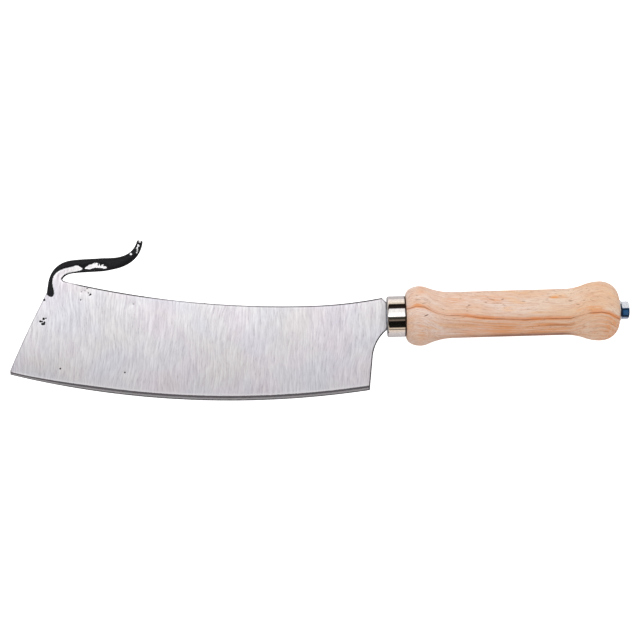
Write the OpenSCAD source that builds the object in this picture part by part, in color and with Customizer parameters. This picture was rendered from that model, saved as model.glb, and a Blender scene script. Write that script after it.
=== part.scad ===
// Broad forged knife with a pick hook at its tip, on a turned wooden handle.
// X runs along the handle's axis from the blade to the end nut, Y from the cutting edge to the
// spine, and Z is square to the blade's flat. The origin is the middle of the handle.

/* [Handle] */
// Length of the wooden handle behind the ferrule
handle_len = 129.5; // [120:0.5:150]
// Diameter of the waist that the hand closes on
grip_d = 28.2; // [27:0.2:30]
// Diameter of the swell behind the ferrule
front_swell_d = 36.5; // [35:0.1:38]
// Diameter of the swell at the nut's end
rear_swell_d = 36.2; // [35:0.1:38]

/* [Ferrule] */
// Outside diameter of the ferrule
ferrule_d = 25; // [24:0.5:27]
// Length of the ferrule in front of the handle
ferrule_len = 11.5; // [10:0.5:15]

/* [Blade] */
// Distance from the ferrule to the tip's lower corner
blade_len = 230.5; // [225:0.5:236]
// Thickness of the blade's flat
blade_t = 3; // [2.6:0.1:3.4]
// Radius of the cutting edge's curve
edge_r = 575; // [560:5:640]
// Radius of the hollow spine, ahead of its lowest point
spine_front_r = 590; // [560:5:620]
// Radius of the hollow spine, behind its lowest point
spine_rear_r = 270; // [250:5:300]
// Width of the sharpened bevel
bevel_w = 2.8; // [2:0.1:4]

/* [Hook] */
// Width of the hook behind its bend
hook_w = 8.1; // [7:0.1:9]
// Thickness of the hook's middle
hook_t = 4; // [3.6:0.1:5]
// Width of the hook's blunt end
hook_tip_w = 3.5; // [3:0.1:4.5]

/* [End nut] */
// Nominal diameter of the thread on the tang's end
thread_d = 6; // [5:0.5:6]
// Width of the nut across its flats
nut_af = 9.8; // [9.6:0.1:10]
// Thickness of the nut
nut_t = 4.8; // [4.7:0.1:5.2]

/* [Hidden] */

// Clearance between parts that are driven or pushed together
fit_gap = 0.05;
// Clearance round the rod, in the handle's bore and the washer
rod_gap = 0.2;
arc_steps = 40;

// The handle's stations along X
handle_front_x = -handle_len / 2;
handle_end_x = handle_len / 2;
shoulder_x = handle_front_x - ferrule_len;
front_swell_x = handle_front_x + 8.5;
rear_swell_x = handle_end_x - 11.2;
front_swell_r = 12.2;
front_hollow_r = 39.6;
rear_swell_r = 27.4;
rear_hollow_r = 33.5;
shoulder_step = 0.4;
end_flat_r = 8.4;

// The ferrule is a drawn cup: its closed front takes the blade's shoulder
ferrule_wall = 1;
ferrule_front = 1.2;
ferrule_round = 1.2;
tenon_r = ferrule_d / 2 - ferrule_wall - fit_gap;

// The tang: a flat taper driven into the wood, then a round rod
tang_w = 9;
tang_narrow_w = 6;
tang_t = 4;
tang_flat_end_x = shoulder_x + 45;
rod_r = thread_d / 2 - 0.025;
rod_bore_r = thread_d / 2 + rod_gap;
rod_lap = 6;
bore_lap = 8;

// The end washer lies on the handle's flat end, with the nut on it
washer_t = 1.6;
washer_d = 12.5;
washer_bore_r = thread_d / 2 + rod_gap;
nut_x = handle_end_x + washer_t;
nut_corner_r = 5.55;
nut_chamfer_r = nut_af / 2 - 0.1;
nut_bore_r = thread_d / 2 + fit_gap;
nut_turn = 17;
rod_end_x = nut_x + nut_t + 0.3;

// The blade's outline, clockwise from the tip's lower corner
tip_x = shoulder_x - blade_len;
tip_corner = [tip_x, -28.9];
tip_blunt = [tip_x, -26.2];
tip_top = [tip_x + 23.7, 20.5];
tip_bow_r = 600;
notch_end = [tip_x + 32.6, 29.4];
notch_foot = [tip_x + 33.1, 27.8];
notch_cover = [tip_x + 27.6, 29.4];
spine_start_x = tip_x + 34.6;
spine_low = [shoulder_x - 47, 8];
spine_end_x = shoulder_x - 2.7;
neck_top = [shoulder_x, 8.8];
neck_bottom = [shoulder_x, -7.8];
heel_arc_r = 24;
heel_corner = [shoulder_x - 11.6, -44.4];
heel_lean = 6.5;
outline_bottom = -60;
blade_half_t = blade_t / 2;
bevel_half_t = 0.95;
edge_half_t = 0.15;
taper_h = 24;
blade_reach = 100;

// The hook's centreline is three Bezier curves, and its root is buried in the blade. Its width
// holds until hook_full_to and its thickness between the next two, all counted in curves.
hook_root_y = 19;
hook_root_w = 7.2;
hook_root_t = 2.4;
hook_full_to = 1.75;
hook_thick_from = 0.5;
hook_thick_to = 1.5;
hook_curves = [
    [[-6, 0.5], [-6.1, 10], [-2.6, 16.2], [6.4, 16.9]],
    [[6.4, 16.9], [14, 17.6], [23.2, 17.2], [30.4, 18.1]],
    [[30.4, 18.1], [39.6, 18.9], [46.2, 23.2], [47.7, 31.8]]
];
hook_base_x = tip_x + 33.6;
hook_steps = 10;
hook_sides = 16;

// The value t of the way from a to b, held at both ends
function mix(a, b, t) = a + (b - a) * max(0, min(1, t));

// A point at parameter t of a cubic Bezier curve with control points p
function bezier(p, t) =
    pow(1 - t, 3) * p[0] + 3 * pow(1 - t, 2) * t * p[1]
    + 3 * (1 - t) * t * t * p[2] + t * t * t * p[3];

// The direction of that curve at t
function bezier_way(p, t) =
    let (
        d = pow(1 - t, 2) * (p[1] - p[0]) + 2 * (1 - t) * t * (p[2] - p[1])
            + t * t * (p[3] - p[2])
    )
    d / norm(d);

// The centre of a circle of radius r through a and b, on the left of the way from a to b
function centre_through(a, b, r) =
    let (half = (b - a) / 2, rise = sqrt(r * r - half * half))
    a + half + rise * [-half[1], half[0]] / norm(half);

// Points on a circle from a to b, the short way round, with both ends
function arc(c, a, b, steps) =
    let (
        start = atan2(a[1] - c[1], a[0] - c[0]),
        stop = atan2(b[1] - c[1], b[0] - c[0]),
        sweep = (stop - start + 540) % 360 - 180
    )
    [for (i = [0 : steps]) let (turn = start + sweep * i / steps)
        c + norm(a - c) * [cos(turn), sin(turn)]];

// A fall from radius r_high to r_low along X, as a round swell and a round hollow that meet
// tangent. The list starts at the swell's crest, and way is +1 or -1 along X.
function swell_to_waist(crest_x, r_high, r_low, swell_r, hollow_r, way, steps) =
    let (
        turn = acos(1 - (r_high - r_low) / (swell_r + hollow_r)),
        waist_x = crest_x + way * (swell_r + hollow_r) * sin(turn)
    )
    concat(
        [for (i = [0 : steps]) let (a = turn * i / steps)
            [crest_x + way * swell_r * sin(a), r_high - swell_r * (1 - cos(a))]],
        [for (i = [steps - 1 : -1 : 0]) let (a = turn * i / steps)
            [waist_x - way * hollow_r * sin(a), r_low + hollow_r * (1 - cos(a))]]
    );

// A quarter of an ellipse from [x0, r0] up to [x1, r1], square to the axis at x0
function quarter(x0, r0, x1, r1, steps) =
    [for (i = [0 : steps]) let (a = 90 * i / steps)
        [x1 + (x0 - x1) * cos(a), r0 + (r1 - r0) * sin(a)]];

function reversed(list) = [for (i = [len(list) - 1 : -1 : 0]) list[i]];

// Turns the shape that rotate_extrude makes about Z onto the handle's axis
module along_x() {
    rotate([0, 90, 0]) children();
}

// A body turned about the handle's axis from its half section, a list of [x, radius]
module turned(section) {
    along_x() rotate_extrude($fn = 96) polygon([for (p = section) [p[1], p[0]]]);
}

module rod(x0, x1, r) {
    translate([x0, 0, 0]) along_x() cylinder(h = x1 - x0, r = r, $fn = 64);
}

edge_centre = centre_through(tip_corner, heel_corner, edge_r);
spine_front_c = spine_low + [0, spine_front_r];
spine_rear_c = spine_low + [0, spine_rear_r];

// The height of a circle's lowest arc above or below its centre, at x
function sag(c, r, x) = c[1] - sqrt(r * r - pow(x - c[0], 2));

// The heel's fillet: tangent to the leaning heel, and through the neck's lower corner
heel_way = [sin(heel_lean), cos(heel_lean)];
heel_out = [cos(heel_lean), -sin(heel_lean)];
heel_to_neck = neck_bottom - heel_corner;
heel_run = heel_to_neck * heel_way
    - sqrt(heel_arc_r * heel_arc_r - pow(heel_to_neck * heel_out - heel_arc_r, 2));
heel_tangent = heel_corner + heel_run * heel_way;
heel_centre = heel_tangent + heel_arc_r * heel_out;

blade_outline = concat(
    [tip_corner],
    arc(centre_through(tip_top, tip_blunt, tip_bow_r), tip_blunt, tip_top, 12),
    [notch_cover, notch_end, notch_foot],
    [for (i = [0 : arc_steps]) let (x = mix(spine_start_x, spine_low[0], i / arc_steps))
        [x, sag(spine_front_c, spine_front_r, x)]],
    [for (i = [1 : 12]) let (x = mix(spine_low[0], spine_end_x, i / 12))
        [x, sag(spine_rear_c, spine_rear_r, x)]],
    [neck_top, neck_bottom],
    arc(heel_centre, neck_bottom, heel_tangent, 12),
    [heel_corner, [heel_corner[0], outline_bottom], [tip_x, outline_bottom]]
);

// The blade's section in the radius of its cutting edge: bevel, taper, then the flat
module blade_section_ring() {
    flat_r = edge_r - bevel_w - taper_h;
    half = [
        [edge_r, edge_half_t],
        [edge_r - bevel_w, bevel_half_t],
        [flat_r, blade_half_t],
        [edge_r - blade_reach, blade_half_t]
    ];
    translate([edge_centre[0], edge_centre[1], 0])
        rotate_extrude($fn = 200)
            polygon(concat(half, [for (p = reversed(half)) [p[0], -p[1]]]));
}

module blade_plate() {
    intersection() {
        blade_section_ring();
        translate([0, 0, -blade_t]) linear_extrude(2 * blade_t) polygon(blade_outline);
    }
}

// One ring of the hook: an oval across the centreline at p, with its way d
function hook_ring(p, d, w, t) =
    [for (i = [0 : hook_sides - 1]) let (a = 360 * i / hook_sides)
        [p[0] - d[1] * w / 2 * cos(a), p[1] + d[0] * w / 2 * cos(a), t / 2 * sin(a)]];

module hook() {
    stations = [for (c = [0 : 2]) for (i = [(c == 0 ? 0 : 1) : hook_steps]) [c, i / hook_steps]];
    last = len(stations) - 1;
    rings = [for (k = [0 : last])
        let (
            curve = hook_curves[stations[k][0]],
            u = stations[k][0] + stations[k][1],
            widening = mix(hook_root_w, hook_w, u),
            narrowing = mix(hook_w, hook_tip_w, (u - hook_full_to) / (3 - hook_full_to)),
            width = u < 1 ? widening : narrowing,
            thickening = mix(hook_root_t, hook_t, u / hook_thick_from),
            thinning = mix(hook_t, hook_tip_w, (u - hook_thick_to) / (3 - hook_thick_to)),
            thick = u < hook_thick_from ? thickening : thinning
        )
        hook_ring(bezier(curve, stations[k][1]), bezier_way(curve, stations[k][1]), width, thick)];
    points = [for (r = rings) for (p = r) p + [hook_base_x, hook_root_y, 0]];
    sides = [for (k = [0 : last - 1]) for (i = [0 : hook_sides - 1])
        let (a = k * hook_sides + i, b = k * hook_sides + (i + 1) % hook_sides)
        [a, a + hook_sides, b + hook_sides, b]];
    root = [for (i = [0 : hook_sides - 1]) i];
    tip = [for (i = [hook_sides - 1 : -1 : 0]) last * hook_sides + i];
    polyhedron(points = points, faces = concat(sides, [root, tip]));
}

// The tang's flat part, grown on every side by gap
module tang_flat(gap) {
    wide = tang_w / 2 + gap;
    narrow = tang_narrow_w / 2 + gap;
    translate([0, 0, -tang_t / 2 - gap])
        linear_extrude(tang_t + 2 * gap)
            polygon([
                [shoulder_x, wide], [shoulder_x, -wide],
                [tang_flat_end_x + gap, -narrow], [tang_flat_end_x + gap, narrow]
            ]);
}

module blade() {
    color("gainsboro") {
        blade_plate();
        hook();
        tang_flat(0);
        rod(tang_flat_end_x - rod_lap, rod_end_x, rod_r);
    }
}

module ferrule() {
    outer = ferrule_d / 2;
    inner = outer - ferrule_wall;
    color("silver") difference() {
        turned(concat(
            [[shoulder_x, 0]],
            quarter(shoulder_x, outer - ferrule_round, shoulder_x + ferrule_round, outer, 8),
            [[handle_front_x, outer], [handle_front_x, 0]]
        ));
        rod(shoulder_x + ferrule_front, handle_front_x + 1, inner);
        translate([shoulder_x, 0, 0])
            cube([3 * ferrule_front, tang_w + 2 * fit_gap, tang_t + 2 * fit_gap], center = true);
    }
}

module handle() {
    tenon_x = shoulder_x + ferrule_front + fit_gap;
    wood_x = handle_front_x + fit_gap;
    front_r = front_swell_d / 2;
    rear_r = rear_swell_d / 2;
    grip_r = grip_d / 2;
    color("burlywood") difference() {
        turned(concat(
            [[tenon_x, 0], [tenon_x, tenon_r], [wood_x, tenon_r]],
            quarter(wood_x, ferrule_d / 2 + shoulder_step, front_swell_x, front_r, 14),
            swell_to_waist(front_swell_x, front_r, grip_r, front_swell_r, front_hollow_r, 1, 14),
            reversed(
                swell_to_waist(rear_swell_x, rear_r, grip_r, rear_swell_r, rear_hollow_r, -1, 14)
            ),
            reversed(quarter(handle_end_x, end_flat_r, rear_swell_x, rear_r, 16)),
            [[handle_end_x, 0]]
        ));
        tang_flat(fit_gap);
        rod(tang_flat_end_x - bore_lap, handle_end_x + 1, rod_bore_r);
    }
}

module end_washer() {
    color("lightsteelblue") difference() {
        rod(handle_end_x, nut_x, washer_d / 2);
        rod(handle_end_x - 1, nut_x + 1, washer_bore_r);
    }
}

module end_nut() {
    drop = (nut_corner_r - nut_chamfer_r) * tan(30);
    color("lightsteelblue") difference() {
        intersection() {
            translate([nut_x, 0, 0]) rotate([nut_turn, 0, 0]) along_x()
                rotate([0, 0, 90]) cylinder(h = nut_t, r = nut_af / 2 / cos(30), $fn = 6);
            turned([
                [nut_x, 0], [nut_x, nut_chamfer_r], [nut_x + drop, nut_corner_r],
                [nut_x + nut_t - drop, nut_corner_r], [nut_x + nut_t, nut_chamfer_r],
                [nut_x + nut_t, 0]
            ]);
        }
        rod(nut_x - 1, nut_x + nut_t + 1, nut_bore_r);
    }
}

blade();
ferrule();
handle();
end_washer();
end_nut();
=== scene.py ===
"""Looks for the hooked harvest knife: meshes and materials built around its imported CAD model.

Lengths in this script are millimetres in the knife's own frame until mesh_object() turns them into metres:
X along the handle from the blade to the nut, Y from the cutting edge to the spine, Z square to the flat.
"""
import math

import bpy
import numpy as np
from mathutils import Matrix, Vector, geometry, kdtree, noise


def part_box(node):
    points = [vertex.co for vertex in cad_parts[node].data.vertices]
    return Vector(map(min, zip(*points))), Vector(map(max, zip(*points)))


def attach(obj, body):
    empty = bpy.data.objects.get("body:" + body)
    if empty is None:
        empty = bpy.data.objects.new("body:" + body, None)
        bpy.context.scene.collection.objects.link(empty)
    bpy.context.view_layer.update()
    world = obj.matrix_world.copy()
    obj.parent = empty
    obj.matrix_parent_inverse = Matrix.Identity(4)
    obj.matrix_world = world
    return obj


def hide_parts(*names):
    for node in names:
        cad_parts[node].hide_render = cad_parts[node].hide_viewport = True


MM = 0.001
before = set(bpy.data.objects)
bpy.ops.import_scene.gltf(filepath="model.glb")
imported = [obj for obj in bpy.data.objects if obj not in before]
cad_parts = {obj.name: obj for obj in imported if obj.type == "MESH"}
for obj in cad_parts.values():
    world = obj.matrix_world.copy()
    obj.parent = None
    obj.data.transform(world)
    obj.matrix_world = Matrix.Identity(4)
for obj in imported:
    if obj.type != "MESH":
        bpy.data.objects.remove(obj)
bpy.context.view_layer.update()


def box_mm(node):
    low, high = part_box(node)
    return np.array(low) / MM, np.array(high) / MM


# ---- stations taken from the frame
BLADE_LOW, BLADE_HIGH = box_mm("blade")
FERRULE_LOW, FERRULE_HIGH = box_mm("ferrule")
HANDLE_LOW, HANDLE_HIGH = box_mm("handle")
WASHER_LOW, WASHER_HIGH = box_mm("end_washer")
NUT_LOW, NUT_HIGH = box_mm("end_nut")
TIP_X = BLADE_LOW[0]
SHOULDER_X = FERRULE_LOW[0]
WOOD_FRONT_X = FERRULE_HIGH[0]
WOOD_END_X = HANDLE_HIGH[0]
ROD_END_X = BLADE_HIGH[0]
THREAD_PITCH = 1.0


# ---- mesh helpers
def placed(name, data):
    """A new object in the scene."""
    obj = bpy.data.objects.new(name, data)
    bpy.context.collection.objects.link(obj)
    return obj


def mesh_object(name, points, faces, body, node, material, attributes=None, sharp_angle=32):
    """A smooth shaded mesh from points in mm, riding a body and standing for a CAD node."""
    mesh = bpy.data.meshes.new(name)
    mesh.from_pydata([tuple(p) for p in np.asarray(points, float) * MM], [], [tuple(f) for f in faces])
    mesh.validate()
    for key, values in (attributes or {}).items():
        layer = mesh.attributes.new(key, "FLOAT", "POINT")
        layer.data.foreach_set("value", np.asarray(values, np.float32))
    mesh.shade_smooth()
    mesh.set_sharp_from_angle(angle=math.radians(sharp_angle))
    mesh.materials.append(material)
    obj = placed(name, mesh)
    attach(obj, body)
    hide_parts(node)
    return obj


def grid_faces(rows, columns, close_rows=False):
    """Quads of a grid whose columns close round, and whose rows close too if asked."""
    faces = []
    for r in range(rows if close_rows else rows - 1):
        for c in range(columns):
            d = (c + 1) % columns
            a, b = r * columns, (r + 1) % rows * columns
            faces.append((a + c, a + d, b + d, b + c))
    return faces


def turned(rows, angles):
    """Points round the X axis from rows of (x, radius), with a pair for each angle."""
    return np.array([(x, r * math.cos(a), r * math.sin(a))
                     for row in rows for (x, r), a in zip(row, angles)])


def lathe(section, columns):
    """A ring turned round the X axis from a closed section of (x, radius)."""
    angles = np.linspace(0, 2 * np.pi, columns, endpoint=False)
    faces = grid_faces(len(section), columns, close_rows=True)
    return turned([[at] * columns for at in section], angles), faces


def quarter(x0, r0, x1, r1, steps):
    """A quarter of an ellipse from (x0, r0) to (x1, r1), square to the axis at x0."""
    turns = np.linspace(0, np.pi / 2, steps + 1)
    return [(x1 + (x0 - x1) * math.cos(a), r0 + (r1 - r0) * math.sin(a)) for a in turns]


def lengths(ways):
    return np.linalg.norm(ways, axis=-1)


def smoothstep(t):
    t = np.clip(t, 0, 1)
    return t * t * (3 - 2 * t)


# ---- node helpers
class Nodes:
    """Short ways to add nodes to a tree. Each one returns an output socket."""

    def __init__(self, tree):
        self.tree = tree

    def add(self, kind, inputs=None, output=0, **settings):
        """A node of any kind, with its inputs set or linked."""
        made = self.tree.nodes.new("ShaderNode" + kind)
        for key, value in settings.items():
            setattr(made, key, value)
        for key, value in (inputs or {}).items():
            if isinstance(value, bpy.types.NodeSocket):
                self.tree.links.new(value, made.inputs[key])
            else:
                made.inputs[key].default_value = value
        return made.outputs[output]

    def maths(self, operation, a, b=0.0):
        return self.add("Math", {0: a, 1: b}, operation=operation)

    def plus(self, a, b):
        return self.maths("ADD", a, b)

    def times(self, first, *others):
        for other in others:
            first = self.maths("MULTIPLY", first, other)
        return first

    def swing(self, value, reach):
        """A noise value from 0 to 1 as a shift of up to half the reach to either side."""
        return self.times(self.maths("SUBTRACT", value, 0.5), reach)

    def ramp(self, value, low, high, to_low=0.0, to_high=1.0, smooth=True):
        kind = "SMOOTHSTEP" if smooth else "LINEAR"
        inputs = {"Value": value, "From Min": low, "From Max": high, "To Min": to_low, "To Max": to_high}
        return self.add("MapRange", inputs, interpolation_type=kind)

    def mix(self, factor, a, b, blend="MIX"):
        """A colour mix. Inputs 0, 6 and 7 are its factor and two colours, and output 2 is its colour."""
        return self.add("Mix", {0: factor, 6: a, 7: b}, output=2, data_type="RGBA", blend_type=blend)

    def split(self, vector):
        return self.add("SeparateXYZ", {0: vector}).node.outputs

    def place(self, scale=(1, 1, 1), turn=0.0):
        """The piece's own coordinates in mm, turned about Z, then stretched by scale."""
        turned = self.add("Mapping", {"Vector": self.add("TexCoord", output=3), "Rotation": (0, 0, turn)})
        return self.add("Mapping", {"Vector": turned, "Scale": tuple(s / MM for s in scale)})

    def noise(self, vector, scale=1.0, detail=2.0, roughness=0.5, distortion=0.0):
        inputs = {"Vector": vector, "Scale": scale, "Detail": detail, "Roughness": roughness}
        return self.add("TexNoise", {**inputs, "Distortion": distortion})

    def attribute(self, name):
        return self.add("Attribute", output=2, attribute_name=name)

    def bump(self, height, distance_mm, strength=1.0, normal=None):
        inputs = {"Height": height, "Distance": distance_mm * MM, "Strength": strength}
        if normal is not None:
            inputs["Normal"] = normal
        return self.add("Bump", inputs)


class Look(Nodes):
    """A new material. Sockets of its shader are set by name, with _ for each space."""

    def __init__(self, name, **sockets):
        self.material = bpy.data.materials.new(name)
        self.material.use_nodes = True
        super().__init__(self.material.node_tree)
        self.inputs = self.tree.nodes["Principled BSDF"].inputs
        for key, value in sockets.items():
            self.inputs[key.replace("_", " ")].default_value = value

    def link(self, **sockets):
        for key, value in sockets.items():
            self.tree.links.new(value, self.inputs[key.replace("_", " ")])
        return self.material


def rgb(red, green, blue):
    """A display colour, 0 to 255, as the linear colour that a shader takes."""
    values = [v / 255 for v in (red, green, blue)]
    return tuple(v / 12.92 if v <= 0.04045 else ((v + 0.055) / 1.055) ** 2.4 for v in values) + (1.0,)


# ---- materials
# Dashes in the wood: x, y, half length, half width, turn in degrees, strength
GRAIN_MARKS = [
    (-53.2, 0.2, 1.5, 0.36, 20, 1.0), (-57.9, 9.8, 2.0, 0.35, -10, 0.4), (-54.0, 7.6, 1.8, 0.3, 8, 0.45),
    (-27.0, 5.6, 0.9, 0.35, 0, 0.7), (-16.8, 7.0, 0.8, 0.35, 12, 0.4), (-6.6, 8.6, 1.0, 0.4, 15, 0.6),
    (6.0, 7.0, 1.2, 0.3, 4, 0.5), (20.0, 7.4, 1.3, 0.3, -3, 0.4), (38.5, 4.2, 1.3, 0.35, -14, 0.5),
    (46.5, 6.6, 1.2, 0.3, -18, 0.35), (34.2, 6.6, 1.4, 0.45, -4, 0.5), (-32.0, 9.6, 0.9, 0.3, 5, 0.35),
]
# Orange patches in the wood, in the same terms
ORANGE_MARKS = [
    (24.7, 8.9, 3.4, 1.1, 4, 1.0), (-34.0, 8.4, 9.5, 3.2, 0, 0.5), (-55.6, 14.6, 3.0, 4.4, 0, 0.4),
    (-56.4, -9.5, 2.8, 8.5, 0, 0.45), (-10.5, 8.2, 5.2, 1.9, 8, 0.6), (48.0, 1.8, 7.0, 1.7, 0, 0.8),
    (39.0, 0.6, 3.0, 1.0, 22, 0.8), (-58.0, 6.4, 3.8, 1.4, 6, 0.6), (-12.0, 8.6, 11.0, 3.0, 0, 0.3),
]


# Broad clouds of tint in the ground steel: noise scale, offset in mm, tint
HUE_CLOUDS = [(0.022, 0.0, (255, 251, 254)), (0.03, 40.0, (250, 252, 255)), (0.027, 90.0, (254, 253, 250))]
# The direction of the grinding lines, in radians from the blade's width
GRIND_TURN = 0.10


def blade_material():
    """Ground steel, a darker honed bevel, black forge scale on the hook and small rust pits, with painted
    shade towards the cutting edge and along the rounded rims, and a painted highlight along the scale's
    border.
    """
    look = Look("ground_steel", Metallic=1.0, Specular_IOR_Level=0.2)
    ramp, mix, times = look.ramp, look.mix, look.times
    bend = look.noise(look.place(), 0.02, 1.0)
    parts = look.split(look.place(turn=GRIND_TURN))
    sway = look.plus(parts[0], look.swing(bend, 14.0))
    swayed = look.add("CombineXYZ", {0: sway, 1: parts[1], 2: parts[2]})

    def streaky(across, along, detail, roughness):
        vector = look.add("Mapping", {"Vector": swayed, "Scale": (across, along, 1.0)})
        return look.noise(vector, 1.0, detail, roughness)

    streaks = streaky(0.9, 0.08, 3.0, 0.6)
    fine = streaky(2.6, 0.22, 3.0, 0.7)
    grind = look.plus(times(streaks, 0.52), times(fine, 0.48))
    steel = mix(ramp(grind, 0.36, 0.64, smooth=False), rgb(219, 215, 220), rgb(255, 254, 255))
    scratch = times(ramp(fine, 0.40, 0.33), ramp(streaks, 0.55, 0.45), 0.4)
    steel = mix(scratch, steel, rgb(166, 161, 168))
    # Painted shade: the steel is darker towards the cutting edge
    edge_side_shade = ramp(look.attribute("bevel_mm"), 4.0, 62.0, smooth=False)
    steel = mix(1.0, steel, mix(edge_side_shade, rgb(238, 237, 239), rgb(255, 255, 255)), "MULTIPLY")
    for scale, offset, tint in HUE_CLOUDS:
        shifted = look.add("Mapping", {"Vector": look.place(), "Location": (offset, offset, 0)})
        cloud = ramp(look.noise(shifted, scale, 2.0), 0.45, 0.65)
        steel = mix(cloud, steel, rgb(*tint), "MULTIPLY")

    # The bevel is honed darker, with a bright burr line at its shoulder and a dark line at the edge
    edge = look.plus(look.attribute("bevel_mm"), look.swing(streaks, 0.7))
    in_bevel = ramp(edge, 3.05, 2.85)
    bevel_tone = mix(ramp(edge, 0.3, 0.9), rgb(92, 92, 92), rgb(194, 190, 194))
    bevel_tone = mix(ramp(edge, 1.3, 1.9), bevel_tone, rgb(118, 114, 118))
    steel = mix(in_bevel, steel, bevel_tone)
    burr = times(ramp(edge, 2.95, 3.15), ramp(edge, 4.1, 3.6))
    steel = mix(burr, steel, rgb(220, 218, 220))

    # Black scale stays on the hook, with a broken border and chips at its tip
    border = look.noise(look.place(), 1.4, 4.0, 0.7)
    scale_at = look.plus(look.attribute("scale_mm"), look.swing(border, 1.1))
    scaled = ramp(scale_at, -0.05, 0.05)
    # Painted highlight: a white band inside the scale's border on the hook
    scale_border_highlight = times(ramp(scale_at, -1.3, -0.4), look.attribute("hook"))
    steel = mix(scale_border_highlight, steel, rgb(255, 253, 255))
    # Painted shade along the rounded rims of tip, spine, neck and heel
    rim_shade = times(ramp(look.attribute("rim_mm"), 1.0, 0.5), look.attribute("rim_shade"))
    pits = ramp(look.attribute("pit"), 0.02, 0.3)
    crust = look.noise(look.place(), 2.2, 4.0, 0.65)
    black = mix(ramp(crust, 0.4, 0.75), rgb(17, 16, 19), rgb(44, 43, 48))
    colour = mix(rim_shade, steel, rgb(52, 50, 53))
    colour = mix(pits, colour, rgb(34, 31, 32))

    covered = look.maths("MAXIMUM", scaled, pits)
    bare_rough = ramp(grind, 0.3, 0.7, 0.38, 0.28, smooth=False)
    bare_rough = look.plus(bare_rough, times(in_bevel, 0.2))
    return look.link(
        Base_Color=mix(scaled, colour, black),
        Metallic=ramp(covered, 0.0, 1.0, 0.55, 0.1, smooth=False),
        Roughness=look.add("Mix", {0: covered, 2: bare_rough, 3: 0.5}, data_type="FLOAT"),
        Normal=look.bump(times(crust, scaled), 0.12, 0.6, look.bump(grind, 0.03, 0.5)))


def tang_material():
    """Zinc plated steel for the tang, in dull and bright patches."""
    look = Look("thread_steel", Metallic=1.0)
    patchy = look.noise(look.place(), 1.6, 3.0, 0.6)
    return look.link(
        Base_Color=look.mix(look.ramp(patchy, 0.35, 0.65), rgb(120, 122, 130), rgb(176, 180, 190)),
        Roughness=look.ramp(patchy, 0.3, 0.7, 0.45, 0.3),
        Normal=look.bump(patchy, 0.02, 0.4))


# How far the painted shade reaches from the joint with the wood, and the darkening from the ferrule's
# front, where each is faint and where full
JOINT_SHADE = (1.15, 0.7)
FRONT_DARKENING = (0.75, 0.25)


def ferrule_material():
    """Bright nickel plate with faint drawing lines and small spots, painted shade with a brown painted
    reflection of the wood at the rear joint, and darker towards the front.
    """
    look = Look("nickel_plate", Metallic=1.0)
    drawn = look.noise(look.place((0.4, 5.0, 5.0)), 1.0, 2.0, 0.5)
    spots = look.noise(look.place(), 0.8, 3.0, 0.6)
    colour = look.mix(look.ramp(spots, 0.4, 0.65), rgb(232, 226, 221), rgb(242, 237, 233))
    along = look.split(look.place())[0]
    # Painted shade at the joint with the wood, brown as a painted reflection of the wood
    joint = look.ramp(along, WOOD_FRONT_X - JOINT_SHADE[0], WOOD_FRONT_X - JOINT_SHADE[1])
    colour = look.mix(look.times(joint, 0.93), colour, rgb(58, 40, 32))
    # Darker towards the front
    front = look.ramp(along, SHOULDER_X + FRONT_DARKENING[0], SHOULDER_X + FRONT_DARKENING[1])
    colour = look.mix(look.times(front, 0.6), colour, rgb(96, 92, 90))
    return look.link(Base_Color=colour, Roughness=look.ramp(drawn, 0.3, 0.7, 0.03, 0.07),
                     Normal=look.bump(drawn, 0.002, 0.2))


def grain_mark(look, x, y, half_length, half_width, turn, strength, solid=0.4):
    """A mark on the handle's upper side, as a share from 0 to 1 that fades outside its solid middle."""
    inputs = {"Vector": look.place(), "Location": (x, y, 0), "Rotation": (0, 0, math.radians(turn)),
              "Scale": (half_length, half_width, 1.0)}
    local = look.split(look.add("Mapping", inputs, vector_type="TEXTURE"))
    flat = look.add("CombineXYZ", {0: local[0], 1: local[1]})
    reach = look.add("VectorMath", {0: flat}, output=1, operation="LENGTH")
    across = look.maths("POWER", reach, 2.0)
    return look.times(look.ramp(across, 1.3, solid, 0.0, strength), look.ramp(local[2], 2.0, 4.0))


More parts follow.
